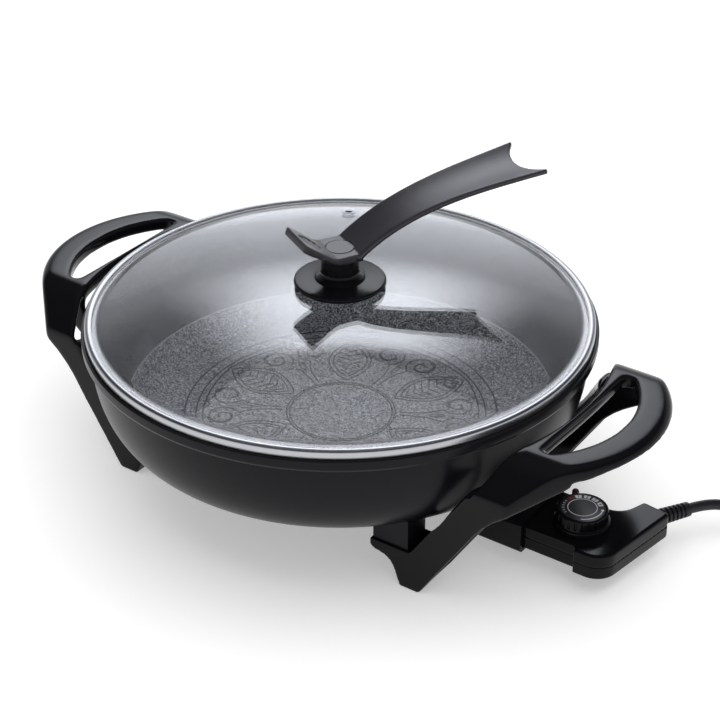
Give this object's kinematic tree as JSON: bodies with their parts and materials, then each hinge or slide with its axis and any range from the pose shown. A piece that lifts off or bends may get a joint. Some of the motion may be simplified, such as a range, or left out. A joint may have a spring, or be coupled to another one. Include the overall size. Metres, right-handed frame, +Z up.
{
  "type": "electric wok",
  "caption": "Round electric wok with a domed glass lid, a raised lid handle, two loop handles with legs, and a plug-in temperature control on a mains lead.",
  "frame": {"origin": "on the table surface, under the bowl's axis", "axes": "+Z up; +X towards the temperature control and the right carrying handle; +Y to the back"},
  "size_m": [0.5754, 0.4388, 0.2088],
  "materials": {
    "nonstick_cast_aluminium": "dark non-stick coating, speckled on the floor, bright machined rim",
    "element_steel": "heat-darkened steel",
    "bright_steel": "bright rolled steel",
    "nickel": "nickel plated",
    "black_moulding": "satin-gloss phenolic moulding",
    "grey_moulding": "matt moulding with a soft touch",
    "lid_glass": "clear tempered glass",
    "black_silicone": "silicone",
    "red_lens": "translucent lens",
    "dial_print": "printed disc",
    "cord_rubber": "matt rubber"
  },
  "bodies": {
    "base": {"pan": "nonstick_cast_aluminium", "pan_castings": "nonstick_cast_aluminium", "heating_element": "element_steel", "socket_shroud": "black_moulding", "terminal_pins": "nickel", "socket_screws": "bright_steel", "right_handle_legs": "black_moulding", "left_handle_legs": "black_moulding", "handle_screws": "bright_steel"},
    "lid": {"lid_glass": "lid_glass", "lid_band": "bright_steel", "vent_eyelet": "bright_steel", "knob_base": "black_moulding", "lid_gasket": "black_silicone", "lid_washer": "bright_steel", "lid_screw": "bright_steel", "lid_handle": "grey_moulding", "handle_cap": "grey_moulding"},
    "control": {"control_lower_housing": "black_moulding", "control_upper_housing": "black_moulding", "housing_screws": "bright_steel", "thermostat": "element_steel", "sensor_rod": "element_steel", "contact_sleeves": "nickel", "pilot_lens": "red_lens", "strain_relief": "cord_rubber", "power_cord": "cord_rubber", "cord_coil": "cord_rubber", "cord_tail": "cord_rubber", "plug_body": "cord_rubber", "plug_pins": "nickel", "plug_earth_clips": "nickel"},
    "dial": {"temperature_dial": "black_moulding", "dial_scale": "dial_print", "dial_shaft": "bright_steel"}
  },
  "joints": [
    {"name": "lid_lift", "type": "slide", "parent": "base", "child": "lid", "axis": [0, 0, 1], "range_m": [0, 0.15]},
    {"name": "control_pull", "type": "slide", "parent": "base", "child": "control", "axis": [1, 0, 0], "range_m": [0, 0.08]},
    {"name": "dial_turn", "type": "hinge", "parent": "control", "child": "dial", "pos_m": [0.1907, 0, 0.036], "axis": [0, 0, 1], "range_deg": [0, 270]}
  ]
}
